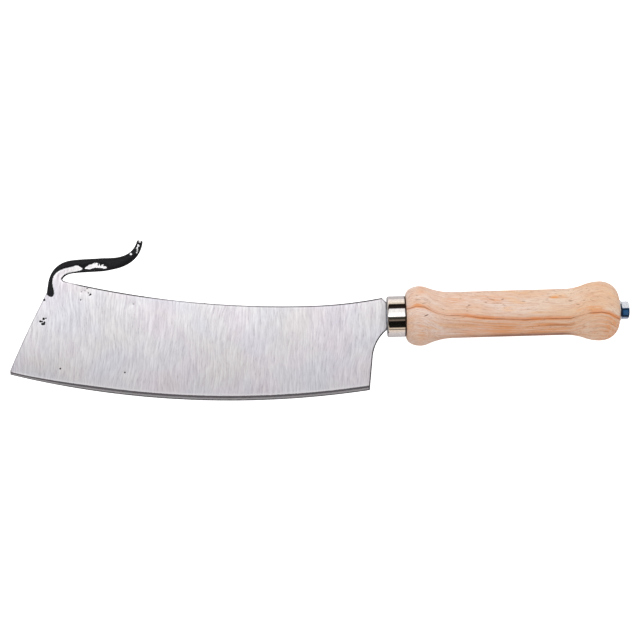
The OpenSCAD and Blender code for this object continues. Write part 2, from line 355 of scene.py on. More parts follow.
def wood_material():
    """Turned beech under a satin lacquer, with one orange-brown growth line along its length, and painted
    shade along its lower side.
    """
    look = Look("turned_beech", Coat_Weight=0.12, Coat_Roughness=0.4)
    ramp, mix, times = look.ramp, look.mix, look.times
    place = look.split(look.place())
    grain = look.attribute("grain_mm")
    flow = look.add("CombineXYZ", {0: place[0], 1: grain, 2: place[2]})

    def stretched(along, across, detail=2.0, roughness=0.5, distortion=0.0):
        vector = look.add("Mapping", {"Vector": flow, "Scale": (along, across, across * 0.35)})
        return look.noise(vector, 1.0, detail, roughness, distortion)

    broad = stretched(0.03, 0.14)
    lines = stretched(0.03, 1.1, 3.0, 0.6, 0.15)
    fibres = stretched(0.16, 3.2, 3.0, 0.7)
    colour = mix(ramp(broad, 0.38, 0.62), rgb(233, 198, 173), rgb(236, 213, 199))
    colour = mix(ramp(place[0], -25.0, 40.0), colour, rgb(255, 250, 236), "MULTIPLY")
    blotches = stretched(0.05, 0.3)
    layers = [(blotches, 0.56, 0.68, 0.55, (240, 186, 132)), (lines, 0.45, 0.66, 0.5, (224, 169, 132)),
              (fibres, 0.47, 0.66, 0.65, (200, 152, 124)), (fibres, 0.42, 0.32, 0.4, (246, 224, 208))]
    for pattern, low, high, strength, tint in layers:
        colour = mix(ramp(pattern, low, high, 0.0, strength), colour, rgb(*tint))

    # The growth line: an orange glow above a dark core, then the orange zone low on the handle
    glow, orange = look.attribute("glow"), look.attribute("zone")
    wander = stretched(0.06, 0.02, 3.0, 0.6)
    shifted = look.plus(grain, look.swing(wander, 0.8))
    band = times(ramp(shifted, 2.4, 0.6), ramp(shifted, -1.3, -0.4),
                      ramp(blotches, 0.35, 0.6, 0.6, 1.0), glow)
    colour = mix(band, colour, rgb(228, 138, 70))
    core = times(ramp(look.maths("ABSOLUTE", shifted), 0.4, 0.1),
                      ramp(stretched(0.09, 0.4), 0.36, 0.56, 0.3, 1.0),
                      ramp(glow, 0.0, 0.6, 0.3, 1.0), 0.8)
    low = times(ramp(grain, -0.3, -3.5), orange)
    colour = mix(times(low, ramp(lines, 0.40, 0.56, 0.3, 0.85)), colour, rgb(232, 154, 94))
    streaks = times(low, ramp(stretched(0.02, 0.8, 2.0), 0.55, 0.64), 0.6)
    colour = mix(streaks, colour, rgb(182, 110, 62))
    # The lower side turns brown in the orange zone: partly the wood's own colour, partly painted shade
    lower_side_tone_and_shade = times(ramp(place[1], -11.2, -12.8), orange, ramp(place[0], 42.0, 32.0),
                       ramp(place[2], -7.0, 3.0))
    colour = mix(times(lower_side_tone_and_shade, 0.7), colour, rgb(172, 112, 76))
    # Painted shade: a dark line just inside the handle's lower edge, on the side that faces up
    lower_edge_shade = times(ramp(place[1], -12.5, -13.2), ramp(place[2], 1.5, 3.5), lower_side_tone_and_shade,
                      ramp(fibres, 0.35, 0.5, 0.5, 0.9))
    colour = mix(lower_edge_shade, colour, rgb(138, 84, 54))
    colour = mix(core, colour, rgb(144, 80, 38))
    mottled = look.maths("MAXIMUM", ramp(lines, 0.42, 0.58), ramp(fibres, 0.46, 0.58))
    for patch in ORANGE_MARKS:
        share = times(grain_mark(look, *patch, solid=-0.3), mottled)
        colour = mix(share, colour, rgb(230, 152, 84))
    for mark in GRAIN_MARKS:
        colour = mix(grain_mark(look, *mark), colour, rgb(126, 78, 50))

    # Ray flecks: short dark dashes along the grain
    flecks = times(ramp(stretched(0.3, 1.9), 0.61, 0.70),
                        ramp(stretched(0.05, 0.22), 0.45, 0.6, 0.25, 1.0))
    return look.link(
        Base_Color=mix(times(flecks, 0.65), colour, rgb(152, 102, 76)),
        Roughness=ramp(fibres, 0.3, 0.7, 0.42, 0.54),
        Normal=look.bump(flecks, -0.04, 0.4, look.bump(fibres, 0.03, 0.35)))


def zinc_material(name, pale, blue, rough_low, rough_high):
    """Zinc plate, pale to blue by the attribute "tint", which also holds painted reflections and painted
    shade, and darker by "rim", which is painted shade.
    """
    look = Look(name, Metallic=1.0)
    cloud = look.noise(look.place(), 0.9, 3.0, 0.6)
    shade = look.plus(look.attribute("tint"), look.swing(cloud, 0.5))
    colour = look.mix(look.ramp(shade, 0.0, 1.0, smooth=False), pale, blue)
    # Painted shade: the rim attribute darkens the colour towards navy
    return look.link(
        Base_Color=look.mix(look.times(look.attribute("rim"), shade), colour, rgb(14, 24, 52)),
        Metallic=look.ramp(shade, 0.5, 1.0, 1.0, 0.5, smooth=False),
        Roughness=look.ramp(cloud, 0.3, 0.7, rough_low, rough_high),
        Normal=look.bump(cloud, 0.03, 0.3))


STEEL = blade_material()
THREAD_STEEL = tang_material()
NICKEL = ferrule_material()
BEECH = wood_material()
NUT_ZINC = zinc_material("nut_zinc", rgb(228, 238, 255), rgb(52, 124, 190), 0.14, 0.24)
WASHER_ZINC = zinc_material("washer_zinc", rgb(236, 239, 243), rgb(200, 210, 224), 0.45, 0.6)

# ---- blade and hook, one forging
EDGE_R = 575.0
SPINE_FRONT_R = 590.0
SPINE_REAR_R = 270.0
TIP_BOW_R = 600.0
HEEL_ARC_R = 24.0
HEEL_LEAN = math.radians(6.5)
BEVEL_W = 2.8
BURR_W = 0.6
BURR_H = 0.035
TAPER_H = 46.0
FLAT_HALF_T = 1.5
SHOULDER_HALF_T = 0.95
SHOULDER_GAIN = 0.17
EDGE_HALF_T = 0.13

TIP_CORNER = np.array([TIP_X, -28.9])
TIP_BLUNT = np.array([TIP_X + 0.05, -26.2])
TIP_TOP = np.array([TIP_X + 23.7, 20.5])
NOTCH_END = np.array([TIP_X + 32.6, 29.4])
NOTCH_FOOT = np.array([TIP_X + 33.1, 27.8])
SPINE_START_X = TIP_X + 34.6
SPINE_LOW = np.array([SHOULDER_X - 47, 8.0])
SPINE_END_X = SHOULDER_X - 2.7
NECK_TOP = np.array([SHOULDER_X, 8.8])
NECK_BOTTOM = np.array([SHOULDER_X, -7.8])
HEEL_CORNER = np.array([SHOULDER_X - 11.6, -44.4])

# The hook's centreline is three Bezier curves from its root, buried in the blade, to its cut end
HOOK_BASE = np.array([TIP_X + 33.6, 19.0])
HOOK_CURVES = HOOK_BASE + np.array([
    [[-6, 0.5], [-6.1, 10], [-2.6, 16.2], [6.4, 16.9]],
    [[6.4, 16.9], [14, 17.6], [23.2, 17.2], [30.4, 18.1]],
    [[30.4, 18.1], [39.6, 18.9], [46.2, 23.2], [47.7, 31.8]],
])
HOOK_ROOT_W = 7.2
HOOK_W = 8.1
HOOK_TIP_W = 3.5
HOOK_FULL_TO = 1.75

# Ground metal on the hook: the border where its black scale begins, then the second ground patch
GROUND_BORDER = [
    (-310, 20), (-285.1, 20.6), (-283.1, 19.9), (-282.2, 18.7), (-280.2, 17.8), (-278.9, 18.7),
    (-278.6, 20.7), (-279.1, 23.2), (-279.5, 26.1), (-279.3, 28.2), (-278.6, 30.4), (-277, 32.4),
    (-274.7, 34), (-271.9, 35), (-268.8, 35.7), (-266.9, 36), (-265.6, 36.6), (-263.5, 36.7),
    (-262.2, 35.9), (-260.3, 34.4), (-261.4, 33.7), (-262.9, 33.1), (-265.1, 32.7), (-267.6, 32.3),
    (-270.1, 31.8), (-271.7, 31.1), (-273, 30), (-274, 28.9), (-273, 27), (-262, 30), (0, 60),
    (0, -80), (-330, -80),
]
GROUND_PATCH = [
    (-259.9, 34.4), (-258.5, 35.7), (-256.3, 37.1), (-254.4, 37.5), (-253.1, 38.1), (-251.6, 37.9),
    (-250.1, 37.2), (-247.9, 36.9), (-246.7, 35.7), (-244.9, 34.3), (-247.7, 34), (-249.5, 34.5),
    (-253.2, 34.8), (-256.4, 33.9), (-258.2, 34.1),
]
# Spots of scale left inside that patch: x, y, radius
SCALE_SPOTS = [
    (-254.9, 37.0, 0.45), (-253.2, 37.2, 0.4), (-251.2, 36.5, 0.4), (-249.5, 36.3, 0.55),
    (-247.8, 35.9, 0.35),
]
# Chips in the scale: x, y, radius
CHIPS = [
    (-225.4, 50.1, 0.6), (-226.4, 47.6, 0.55), (-227.2, 46.2, 0.4), (-227.0, 45.3, 0.35),
    (-227.1, 44.4, 0.38), (-227.6, 43.4, 0.38), (-231.1, 42.6, 0.55), (-228.4, 46.0, 0.2),
]
# How far the scale reaches over those borders, and a chip in its own radii
SCALE_CREEP = 0.15
CHIP_REACH = 1.3
# Pits in the ground steel: x, y, radius
PITS = [
    (-284.6, 16.1, 0.55), (-287.4, 3.1, 0.55), (-286.3, 3.0, 0.42), (-286.2, 1.5, 0.6), (-285.2, 1.5, 0.6),
    (-284.9, 2.4, 0.5), (-285.3, 4.6, 0.62), (-283.9, 4.9, 0.36), (-256.4, 18.7, 0.5), (-257.7, 19.6, 0.3),
    (-257.1, 18.0, 0.22), (-262.5, 15.5, 0.3), (-258.3, 22.3, 0.3), (-276.1, -26.0, 0.45),
    (-236.8, -29.4, 0.42), (-230.5, 12.1, 0.22), (-187.1, 11.2, 0.25), (-261.9, 20.4, 0.22),
    (-259.6, 20.9, 0.2),
]
PIT_DEPTH = 0.03
PIT_REACH = 1.5
# How much shade is painted on the spine's rim at stations along it
SPINE_SHADE_X = [-275, -265, -225, -205, -190, -120, -90]
SPINE_SHADE = [0.3, 1.0, 0.95, 0.4, 0.6, 0.8, 1.0]


def centre_through(a, b, r):
    """The centre of a circle of radius r through a and b, on the left of the way from a to b."""
    half = (b - a) / 2
    rise = math.sqrt(r * r - half @ half)
    return a + half + rise * np.array([-half[1], half[0]]) / np.linalg.norm(half)


def arc(centre, a, b, step):
    """Points along a circle from a to b, the short way round, about a step apart."""
    radius = np.linalg.norm(a - centre)
    start = math.atan2(*(a - centre)[::-1])
    sweep = (math.atan2(*(b - centre)[::-1]) - start + 3 * math.pi) % (2 * math.pi) - math.pi
    count = max(2, round(abs(sweep) * radius / step))
    turns = start + sweep * np.linspace(0, 1, count + 1)
    return centre + radius * np.stack([np.cos(turns), np.sin(turns)], 1)


def straight(points, step):
    """Points about a step apart along a run of straight lines."""
    made = []
    for a, b in zip(points[:-1], points[1:]):
        count = max(1, round(np.linalg.norm(b - a) / step))
        made += [a + (b - a) * i / count for i in range(count)]
    return np.array(made + [points[-1]])


def bezier(p, t):
    return (1 - t) ** 3 * p[0] + 3 * (1 - t) ** 2 * t * p[1] + 3 * (1 - t) * t * t * p[2] + t ** 3 * p[3]


def bezier_way(p, t):
    way = (1 - t) ** 2 * (p[1] - p[0]) + 2 * (1 - t) * t * (p[2] - p[1]) + t * t * (p[3] - p[2])
    return way / np.linalg.norm(way)


def hook_width(u):
    if u < 1:
        return HOOK_ROOT_W + (HOOK_W - HOOK_ROOT_W) * u
    return HOOK_W + (HOOK_TIP_W - HOOK_W) * max(0, (u - HOOK_FULL_TO) / (3 - HOOK_FULL_TO))


def hook_sides(steps):
    """The hook's outer side, inner side and centreline from root to tip, and u along them, 0 to 3."""
    stations = np.linspace(0, 3, steps + 1)
    middle, sides = [], []
    for u in stations:
        part = min(2, int(u))
        middle.append(bezier(HOOK_CURVES[part], u - part))
        way = bezier_way(HOOK_CURVES[part], u - part)
        sides.append(np.array([-way[1], way[0]]) * hook_width(u) / 2)
    middle, sides = np.array(middle), np.array(sides)
    return middle + sides, middle - sides, middle, stations


def inside(points, loop):
    """Which points lie inside a closed loop."""
    x, y = points[:, 0][:, None], points[:, 1][:, None]
    a, b = loop, np.roll(loop, -1, 0)
    crosses = (a[:, 1] > y) != (b[:, 1] > y)
    rise = np.where(b[:, 1] == a[:, 1], 1e-9, b[:, 1] - a[:, 1])
    at = a[:, 0] + (y - a[:, 1]) * (b[:, 0] - a[:, 0]) / rise
    return (crosses & (x < at)).sum(1) % 2 == 1


# How many points are measured at a time, so that the tables stay small
BATCH = 2000


def distance_to(points, loop):
    """Each point's distance to a closed loop, and the index of the nearest segment."""
    a, b = loop, np.roll(loop, -1, 0)
    along = b - a
    length2 = np.maximum((along ** 2).sum(1), 1e-12)
    best = np.full(len(points), 1e9)
    which = np.zeros(len(points), int)
    for start in range(0, len(points), BATCH):
        batch = slice(start, start + BATCH)
        p = points[batch]
        t = np.clip(((p[:, None] - a) * along).sum(2) / length2, 0, 1)
        gap = lengths(p[:, None] - (a + t[..., None] * along))
        which[batch] = gap.argmin(1)
        best[batch] = gap.min(1)
    return best, which


def well_inside(points, loop, gap):
    """The points inside a closed loop that stay more than a gap from it."""
    near, _ = distance_to(points, loop)
    return points[inside(points, loop) & (near > gap)]


def ground_distance(points):
    """Signed distance to the ground metal's border: above zero where scale stays, in mm."""
    signed = []
    for loop in (np.array(GROUND_BORDER, float), np.array(GROUND_PATCH, float)):
        gap, _ = distance_to(points, loop)
        signed.append(np.where(inside(points, loop), -gap, gap) + SCALE_CREEP)
    for x, y, r in CHIPS:
        signed.append(lengths(points - (x, y)) - CHIP_REACH * r)
    ground = np.min(signed, 0)
    for x, y, r in SCALE_SPOTS:
        ground = np.maximum(ground, r - lengths(points - (x, y)))
    return ground


EDGE_CENTRE = centre_through(TIP_CORNER, HEEL_CORNER, EDGE_R)
OUTLINE_STEP = 0.75
# Twice the area in square mm under which a triangle is only rounding error on a straight run
SLIVER = 1e-4
HOOK_OUTER, HOOK_INNER, HOOK_MIDDLE, HOOK_U = hook_sides(150)


def low_arc(lowest, radius, start, end):
    """Points 1 mm apart in x on a circle's lower half, from its lowest point and radius."""
    x = np.arange(start, end, 1.0)
    return np.stack([x, lowest[1] + radius - np.sqrt(radius ** 2 - (x - lowest[0]) ** 2)], 1)


def forging_outline():
    """The closed outline of blade and hook, with a kind for each stretch of it."""
    front = low_arc(SPINE_LOW, SPINE_FRONT_R, SPINE_START_X, SPINE_LOW[0])
    rear = low_arc(SPINE_LOW, SPINE_REAR_R, SPINE_LOW[0], SPINE_END_X)
    heel_way = np.array([math.sin(HEEL_LEAN), math.cos(HEEL_LEAN)])
    heel_out = heel_way[::-1] * (1, -1)
    to_neck = NECK_BOTTOM - HEEL_CORNER
    run = to_neck @ heel_way - math.sqrt(HEEL_ARC_R ** 2 - (to_neck @ heel_out - HEEL_ARC_R) ** 2)
    tangent = HEEL_CORNER + run * heel_way
    heel_centre = tangent + HEEL_ARC_R * heel_out
    bow_centre = centre_through(TIP_TOP, TIP_BLUNT, TIP_BOW_R)
    stretches = [
        ("tip", arc(bow_centre, TIP_BLUNT, TIP_TOP, OUTLINE_STEP)),
        ("hook", HOOK_OUTER[8:]),
        ("hook", straight([HOOK_OUTER[-1], HOOK_INNER[-1]], 0.6)[1:-1]),
        ("hook", HOOK_INNER[::-1]),
        ("root", straight([NOTCH_END, NOTCH_FOOT], 0.6)),
        ("root", front[:7]),
        ("spine", front[7:]),
        ("spine", rear),
        ("neck", straight([np.array([SPINE_END_X, rear[-1, 1]]), NECK_TOP], 0.8)),
        ("neck", straight([NECK_TOP, NECK_BOTTOM], 0.8)[1:]),
        ("heel", arc(heel_centre, NECK_BOTTOM, tangent, OUTLINE_STEP)[1:]),
        ("heel", straight([tangent, HEEL_CORNER], OUTLINE_STEP)[1:]),
        ("edge", arc(EDGE_CENTRE, HEEL_CORNER, TIP_CORNER, OUTLINE_STEP)[1:]),
    ]
    plate = np.concatenate([p for kind, p in stretches if kind != "hook"])
    hook = np.concatenate([HOOK_OUTER, HOOK_INNER[::-1]])
    points, kinds = [], []
    for kind, stretch in stretches:
        hidden = inside(stretch, plate) if kind == "hook" else inside(stretch, hook)
        for point, gone in zip(stretch, hidden):
            if not gone and (not points or np.linalg.norm(point - points[-1]) > 0.25):
                points.append(point)
                kinds.append(kind)
    return np.array(points), np.array(kinds)


def eased(points, kinds):
    """The outline with its joints eased on the hook, its root and the spine."""
    loose = np.isin(kinds, ("hook", "root", "spine"))
    for _ in range(3):
        middle = (np.roll(points, 1, 0) + np.roll(points, -1, 0)) / 2
        points = np.where(loose[:, None], points * 0.6 + middle * 0.4, points)
    return points


# How wide and how deep each stretch of the outline is rounded, and how much shade is painted on its rim
ROUNDING = {
    "tip": (0.35, 0.3, 0.4), "hook": (3.2, 1.8, 0.0), "root": (0.8, 0.5, 0.1), "spine": (0.8, 0.5, 0.75),
    "neck": (0.4, 0.35, 0.5), "heel": (0.6, 0.5, 1.0), "edge": (0.0, 0.0, 0.0),
}


def bevel_share(x):
    """The bevel's width as a share of its full width: it narrows towards the tip."""
    return 0.6 + 0.4 * smoothstep((x - TIP_X) / 60)


def section_half_t(points):
    """Half the plate's thickness and the place across the bevel, by distance from the cutting edge."""
    from_edge = EDGE_R - lengths(points - EDGE_CENTRE)
    bevel_at = from_edge / bevel_share(points[:, 0])
    shoulder = SHOULDER_HALF_T + SHOULDER_GAIN * smoothstep((points[:, 0] - TIP_X) / 150)
    bevel = EDGE_HALF_T + (shoulder - EDGE_HALF_T) * np.clip(bevel_at / BEVEL_W, 0, 1)
    taper = np.clip(1 - (bevel_at - BEVEL_W) / TAPER_H, 0, 1) ** 1.6
    burr = BURR_H * np.clip(1 - (bevel_at - BEVEL_W) / BURR_W, 0, 1)
    flat = FLAT_HALF_T - (FLAT_HALF_T - shoulder) * taper + burr
    return np.where(bevel_at < BEVEL_W, bevel + BURR_H * bevel_at / BEVEL_W, flat), bevel_at


def hook_share(points):
    """How far along the hook each point is, 0 to 3, how much it belongs, and if on its inner side."""
    gap = lengths(points[:, None] - HOOK_MIDDLE)
    nearest = gap.argmin(1)
    u = HOOK_U[nearest]
    belongs = smoothstep((5.2 - gap.min(1)) / 1.2) * smoothstep((u - 0.12) / 0.5)
    to_outer = (HOOK_OUTER - HOOK_INNER)[nearest]
    inner_side = ((points - HOOK_MIDDLE[nearest]) * to_outer).sum(1) < 0
    return u, belongs, inner_side


# Half the hook's thickness, and the limits of its rounding on the inner side, by place along it
BAR_U = [0, 0.5, 1.2, 1.8, 3]
BAR_HALF_T = [1.5, 1.56, 2.0, 2.0, 1.7]
TIGHT_U = [0, 0.9, 1.9, 2.4]
TIGHT_WIDE = [0.9, 1.1, 1.3, 3.2]
TIGHT_DEEP = [0.7, 0.9, 1.1, 1.8]


def half_thickness(points, rim, kind_values):
    """Half the forging's thickness at each point, from its plate, its hook and its rounded rims."""
    plate, bevel_at = section_half_t(points)
    u, belongs, inner_side = hook_share(points)
    bar = np.interp(u, BAR_U, BAR_HALF_T)
    scale = ground_distance(points)
    flush = FLAT_HALF_T + 0.34 * np.clip(scale - 0.4, 0, None) + 0.12 * smoothstep((u - 1.0) / 0.6)
    body = plate + (np.minimum(bar, flush) - plate) * belongs
    wide, deep = kind_values[:, 0], kind_values[:, 1]
    # The ground facets on the hook's inner side stay flat almost to the rim
    tight = inner_side & (belongs > 0.3)
    limit_wide = np.interp(u, TIGHT_U, TIGHT_WIDE)
    limit_deep = np.interp(u, TIGHT_U, TIGHT_DEEP)
    wide = np.where(tight, np.minimum(wide, limit_wide), wide)
    deep = np.where(tight, np.minimum(deep, limit_deep), deep)
    deep = np.minimum(deep, body - 0.12)
    part = np.clip(1 - rim / np.maximum(wide, 1e-6), 0, 1)
    fall = deep * (1 - np.sqrt(1 - part ** 2))
    return np.maximum(body - np.where(wide > 0, fall, 0), 0.06), bevel_at, scale, belongs


# Rings of points follow the outline inwards, and space out as they go
RING_GAPS = (0.1, 0.24, 0.42, 0.65, 0.95, 1.35, 1.9, 2.5, 3.1)
RING_SPACING = 0.085
RING_SPACING_STEP = 0.05
# Rows follow the cutting edge, so that the bevel, its shoulder and the taper keep their lines
ROW_DEPTHS = (0.6, 1.3, 2.1, BEVEL_W, BEVEL_W + BURR_W / 2, BEVEL_W + BURR_W, 4.8)
ROW_STEP = 1.3
# Points round each pit, in its own radii
PIT_RINGS = (0.35, 0.7, 1.0, PIT_REACH)
DETAIL_SPACING = 0.12
# A fine grid covers the hook, and a coarse one the whole plate
HOOK_LOW = (-286, 15)
HOOK_HIGH = (-221.4, 51.6)
FINE_STEP = (0.75, 0.65)
FINE_SPACING = 0.5
COARSE_STEP = (1.9, 1.65)
COARSE_SPACING = 1.15
RIM_SPACING = 0.6
SCALE_ROUGHNESS = 0.045


def rounding_table(outline, kinds):
    """ROUNDING at each point of the outline, eased everywhere but on the cutting edge."""
    table = np.array([ROUNDING[kind] for kind in kinds])
    on_spine = kinds == "spine"
    table[on_spine, 2] = np.interp(outline[on_spine, 0], SPINE_SHADE_X, SPINE_SHADE)
    for _ in range(4):
        soft = (np.roll(table, 1, 0) + np.roll(table, -1, 0) + table) / 3
        table = np.where((kinds == "edge")[:, None], table, soft)
    return table


def staggered(low, high, step):
    """A grid of points whose odd rows are half a step along."""
    columns, rows = (int((high[k] - low[k]) / step[k]) for k in (0, 1))
    return np.array([(low[0] + step[0] * (i + j % 2 / 2), low[1] + step[1] * j)
                     for j in range(rows) for i in range(columns)])


def inner_points(outline, table):
    """Groups of points inside the outline, each with the least spacing that it keeps."""
    way = np.roll(outline, -1, 0) - np.roll(outline, 1, 0)
    inward = np.stack([way[:, 1], -way[:, 0]], 1) / lengths(way)[:, None]
    rings = []
    for i, gap in enumerate(RING_GAPS):
        chosen = table[:, 0] > gap - 0.5
        ring = outline[chosen] + inward[chosen] * gap
        rings.append((well_inside(ring, outline, 0.93 * gap), RING_SPACING + RING_SPACING_STEP * i))

    rows = []
    heel_turn = math.atan2(*(HEEL_CORNER - EDGE_CENTRE)[::-1])
    tip_turn = math.atan2(*(TIP_CORNER - EDGE_CENTRE)[::-1])
    turns = np.linspace(heel_turn, tip_turn, round(EDGE_R * abs(tip_turn - heel_turn) / ROW_STEP))
    ways = np.stack([np.cos(turns), np.sin(turns)], 1)
    share = bevel_share((EDGE_CENTRE + EDGE_R * ways)[:, 0])
    for depth in ROW_DEPTHS:
        row = EDGE_CENTRE + (EDGE_R - depth * share)[:, None] * ways
        rows.append((well_inside(row, outline, min(0.5, depth * 0.8)), DETAIL_SPACING))

    eighths = np.linspace(0, 2 * np.pi, 9)[:-1]
    circle = np.stack([np.cos(eighths), np.sin(eighths)], 1)
    spots = np.concatenate([k * circle for k in PIT_RINGS] + [[(0, 0)]])
    pits = [((x, y) + r * spots, DETAIL_SPACING) for x, y, r in PITS]

    fine = staggered(HOOK_LOW, HOOK_HIGH, FINE_STEP)
    _, belongs, _ = hook_share(fine)
    fine = fine[(belongs > 0.02) | (ground_distance(fine) > -1.5)]
    coarse = staggered(outline.min(0), outline.max(0), COARSE_STEP)
    return pits + rings + rows + [(fine, FINE_SPACING), (coarse, COARSE_SPACING)]


def triangulated(outline, groups):
    """The outline filled with triangles through each group's points that keep their spacing."""
    count = len(outline)
    everything = outline
    for group, spacing in groups:
        if not len(group):
            continue
        group = well_inside(group, outline, min(spacing, RIM_SPACING))
        tree = kdtree.KDTree(len(everything))
        for i, point in enumerate(everything):
            tree.insert((*point, 0), i)
        tree.balance()
        free = [p for p in group if tree.find((*p, 0))[2] > spacing]
        if free:
            everything = np.concatenate([everything, np.array(free)])

    constraints = [(i, (i + 1) % count) for i in range(count)]
    filled = geometry.delaunay_2d_cdt([Vector(p) for p in everything], constraints, [], 1, 1e-5, True)
    flat = np.array([(v[0], v[1]) for v in filled[0]])
    triangles = np.array(filled[2])
    triangles = triangles[inside(flat[triangles].mean(1), outline)]
    sides = flat[triangles[:, 1:]] - flat[triangles[:, :1]]
    turns = sides[:, 0, 0] * sides[:, 1, 1] - sides[:, 0, 1] * sides[:, 1, 0]
    return flat, triangles[np.abs(turns) > SLIVER]


def forging():
    """Blade and hook as one closed mesh: a triangulated outline, raised to both sides."""
    outline, kinds = forging_outline()
    outline = eased(outline, kinds)
    outline[:, 1] = np.clip(outline[:, 1], BLADE_LOW[1], BLADE_HIGH[1])
    table = rounding_table(outline, kinds)
    flat, triangles = triangulated(outline, inner_points(outline, table))
    rim, nearest = distance_to(flat, outline)
    half, bevel_at, scale, belongs = half_thickness(flat, rim, table[nearest])

    pit = np.zeros(len(flat))
    for x, y, r in PITS:
        pit = np.maximum(pit, smoothstep(PIT_REACH - lengths(flat - (x, y)) / r))
    half = half - PIT_DEPTH * pit
    rough = np.array([noise.noise((x * 0.55, y * 0.55, 3.1)) + 0.5 * noise.noise((x * 1.7, y * 1.7, 9.0))
                      for x, y in flat])
    half = half + SCALE_ROUGHNESS * rough * smoothstep(scale / 0.6) * smoothstep(rim / 0.6)
    half = np.minimum(half, BLADE_HIGH[2] - 0.01)

    total = len(flat)
    faces = []
    for a, b, c in triangles:
        if np.cross(flat[b] - flat[a], flat[c] - flat[a]) < 0:
            b, c = c, b
        faces.append((a, b, c))
        faces.append((total + a, total + c, total + b))
    # The rim's points in the outline's order, joined from side to side
    ring = sorted(np.flatnonzero(rim < 1e-3), key=lambda i: lengths(outline - flat[i]).argmin())
    for i, j in zip(ring, ring[1:] + ring[:1]):
        faces.append((i, j, total + j, total + i))
    attributes = {"bevel_mm": bevel_at, "scale_mm": scale, "pit": pit, "rim_mm": rim,
                  "rim_shade": table[nearest][:, 2], "hook": belongs}
    attributes = {key: np.concatenate([v, v]) for key, v in attributes.items()}
    points = np.concatenate([np.column_stack([flat, half]), np.column_stack([flat, -half])])
    mesh_object("blade_forging", points, faces, "knife", "blade", STEEL, attributes, 40)


forging()


# ---- tang: flat taper, rod, thread
TANG_W = 9.0
TANG_NARROW_W = 6.0
TANG_T = 4.0
TANG_FLAT_END_X = SHOULDER_X + 45
THREAD_R = 2.97
THREAD_DEPTH = 0.58
THREAD_START_X = WOOD_END_X - 8


def thread_wave(x, angle):
    """How deep a right-hand thread is at x and angle, 0 at its crest to 1 at its root."""
    phase = (x / THREAD_PITCH - angle / (2 * math.pi)) % 1
    return float(np.interp(phase, [0, 0.07, 0.43, 0.57, 0.93, 1], [0, 0, 1, 1, 0, 0]))


def tang_rod():
    """The tang from the ferrule to its threaded end, as one closed mesh."""
    columns = 48
    angles = np.linspace(0, 2 * np.pi, columns, endpoint=False)
    rows = []
    for x, wide in ((SHOULDER_X - 0.3, TANG_W - 0.5), (SHOULDER_X + 0.2, TANG_W),
                    (TANG_FLAT_END_X, TANG_NARROW_W)):
        spans = [(max(abs(math.cos(a)), 1e-6), max(abs(math.sin(a)), 1e-6)) for a in angles]
        rows.append([(x, min(wide / 2 / across, TANG_T / 2 / up)) for across, up in spans])
    stations = [TANG_FLAT_END_X + 1.5, TANG_FLAT_END_X + 40, THREAD_START_X - 0.5]
    stations += list(np.arange(THREAD_START_X, ROD_END_X - 0.55, THREAD_PITCH / 12))
    stations += [ROD_END_X - 0.5, ROD_END_X - 0.25, ROD_END_X - 0.02, ROD_END_X]
    for x in stations:
        start = min(1, max(0, (x - THREAD_START_X) / 1.5))
        limit = THREAD_R - 0.8 * max(0, x - (ROD_END_X - 0.5)) if x < ROD_END_X else 0.02
        rows.append([(x, min(THREAD_R - THREAD_DEPTH * start * thread_wave(x, a), limit)) for a in angles])
    last = (len(rows) - 1) * columns
    faces = grid_faces(len(rows), columns)
    faces += [tuple(reversed(range(columns))), tuple(range(last, last + columns))]
    mesh_object("tang", turned(rows, angles), faces, "knife", "blade", THREAD_STEEL)


tang_rod()


# ---- ferrule: a drawn cup
FERRULE_WALL = 1.0
FERRULE_FRONT = 1.2
FERRULE_HOLE_R = 0.4
SLOT_HALF_W = 4.55
SLOT_HALF_T = 2.05
# A small punch mark: its distance from the front, its height, its radius, and its depth as a share
MARK_AT = 1.9
MARK_Y = -9.6
MARK_R = 0.35
MARK_DEPTH = 0.014


def ferrule():
    """A drawn cup with a rounded front, a slot for the tang, an eased rear rim and a punch mark."""
    outer = FERRULE_HIGH[1]
    inner = outer - FERRULE_WALL
    x0, x1 = SHOULDER_X, WOOD_FRONT_X
    section = [(x0, FERRULE_HOLE_R), (x0, 4.0), (x0, 7.5)]
    section += quarter(x0, outer - 1.2, x0 + 1.2, outer, 8)
    section += [(x, outer) for x in np.arange(x0 + 1.6, x1 - 1.0, 0.4)]
    section += quarter(x1, outer - 0.8, x1 - 0.8, outer, 6)[::-1]
    section += [(x1, inner), (x0 + FERRULE_FRONT + 0.3, inner), (x0 + FERRULE_FRONT, inner - 0.3),
                (x0 + FERRULE_FRONT, FERRULE_HOLE_R)]
    points, faces = lathe(section, 180)
    mark = np.array([x0 + MARK_AT, MARK_Y, math.sqrt(outer ** 2 - MARK_Y ** 2)])
    near = np.exp(-((points - mark) ** 2).sum(1) / MARK_R ** 2)
    points[:, 1:] *= (1 - MARK_DEPTH * near)[:, None]
    made = mesh_object("ferrule_cup", points, faces, "knife", "ferrule", NICKEL)

    # The slot is cut out with a box
    mesh = bpy.data.meshes.new("slot_cutter")
    corners = [(x * MM, y * MM, z * MM) for x in (x0 - 2, x0 + 3)
               for y in (-SLOT_HALF_W, SLOT_HALF_W) for z in (-SLOT_HALF_T, SLOT_HALF_T)]
    sides = [(0, 1, 3, 2), (4, 6, 7, 5), (0, 4, 5, 1), (2, 3, 7, 6), (0, 2, 6, 4), (1, 5, 7, 3)]
    mesh.from_pydata(corners, [], sides)
    cutter = placed("slot_cutter", mesh)
    cut = made.modifiers.new("slot", "BOOLEAN")
    cut.operation, cut.solver, cut.object = "DIFFERENCE", "EXACT", cutter
    bpy.context.view_layer.update()
    graph = bpy.context.evaluated_depsgraph_get()
    baked = bpy.data.meshes.new_from_object(made.evaluated_get(graph))
    made.modifiers.clear()
    made.data = baked
    bpy.data.objects.remove(cutter)


ferrule()


